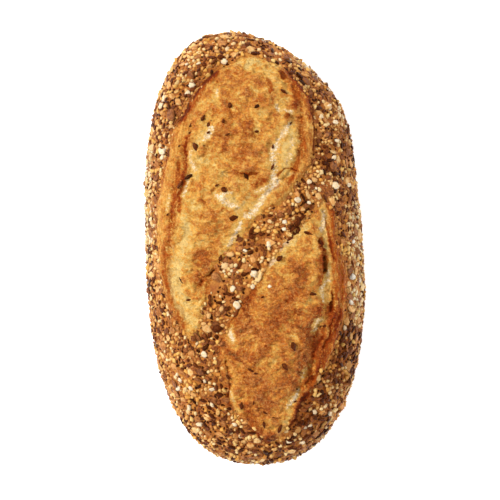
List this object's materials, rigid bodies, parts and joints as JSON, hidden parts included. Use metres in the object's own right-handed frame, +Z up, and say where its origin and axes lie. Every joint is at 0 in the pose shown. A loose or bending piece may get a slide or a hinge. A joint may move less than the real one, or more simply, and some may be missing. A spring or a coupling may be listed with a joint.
{
  "type": "seven-grain sourdough loaf",
  "caption": "Oval multigrain sourdough hearth loaf with a seed-covered domed crust, burst open along slanting slashes, and a flat base to rest on.",
  "frame": {"origin": "middle of the bounding box at its bottom, on the surface that the loaf stands on", "axes": "+Y along the loaf towards the end with the longer slash, +X to its right seen from above, +Z up"},
  "size_m": [0.1272, 0.247, 0.0794],
  "materials": {
    "crust": "baked crust, matt, golden to dark brown",
    "pale_grains": "dry husk, matt, cream to yellow",
    "dark_grains": "smooth seed coat, slight gloss, dark brown to black"
  },
  "bodies": {
    "root": {"seven_grain_loaf": "crust"}
  },
  "joints": []
}
